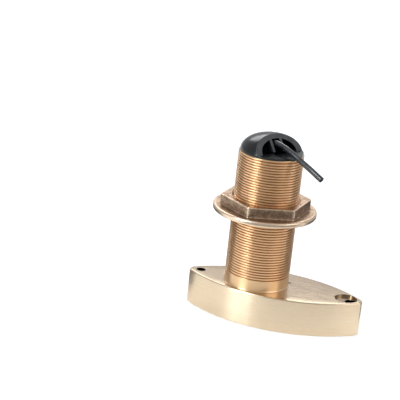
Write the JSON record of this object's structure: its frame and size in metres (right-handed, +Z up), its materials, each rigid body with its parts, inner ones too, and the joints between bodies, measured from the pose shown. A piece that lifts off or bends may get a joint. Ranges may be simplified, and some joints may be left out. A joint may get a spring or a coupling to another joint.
{
  "type": "through-hull sonar transducer",
  "caption": "Bronze through-hull sonar transducer: a streamlined base with a sounding face, a threaded stem with a flanged hull nut, and a hooded cap from which the cable leaves.",
  "frame": {"origin": "on the stem axis, in the plane of the sounding face under the base", "axes": "+Z up along the stem, +X along the base towards its longer end"},
  "size_m": [0.1394, 0.081, 0.1482],
  "materials": {
    "base_bronze": "satin",
    "stem_bronze": "satin",
    "nut_bronze": "satin",
    "cap_plastic": "satin",
    "seal_rubber": "matte",
    "window_urethane": "matte",
    "piezo_ceramic": "matte",
    "cork": "matte",
    "epoxy": "gloss",
    "lead_copper": "satin",
    "board_laminate": "satin",
    "tinned_brass": "satin",
    "ferrite": "matte",
    "winding_copper": "satin",
    "ferrule_steel": "satin",
    "cable_jacket": "gloss"
  },
  "bodies": {
    "housing": {"base_housing": "base_bronze", "threaded_stem": "stem_bronze", "stem_cap": "cap_plastic", "cap_o_ring": "seal_rubber", "stem_o_ring": "seal_rubber", "acoustic_window": "window_urethane", "ceramic_disc": "piezo_ceramic", "isolation_sleeve": "cork", "backing_disc": "cork", "pocket_potting": "epoxy", "lead_live": "lead_copper", "lead_return": "lead_copper", "junction_board": "board_laminate", "solder_posts": "tinned_brass", "pot_core_lower": "ferrite", "pot_core_upper": "ferrite", "transformer_winding": "winding_copper", "core_screw": "tinned_brass", "cable_conductors": "lead_copper", "cable_ferrule": "ferrule_steel", "stem_potting": "epoxy", "cable_grommet": "seal_rubber", "cable_root": "cable_jacket", "signal_cable": "cable_jacket"},
    "nut": {"hull_nut": "nut_bronze"}
  },
  "joints": [
    {"name": "nut_travel", "type": "slide", "parent": "housing", "child": "nut", "axis": [0, 0, 1], "range_m": [-0.049, 0.03]}
  ]
}
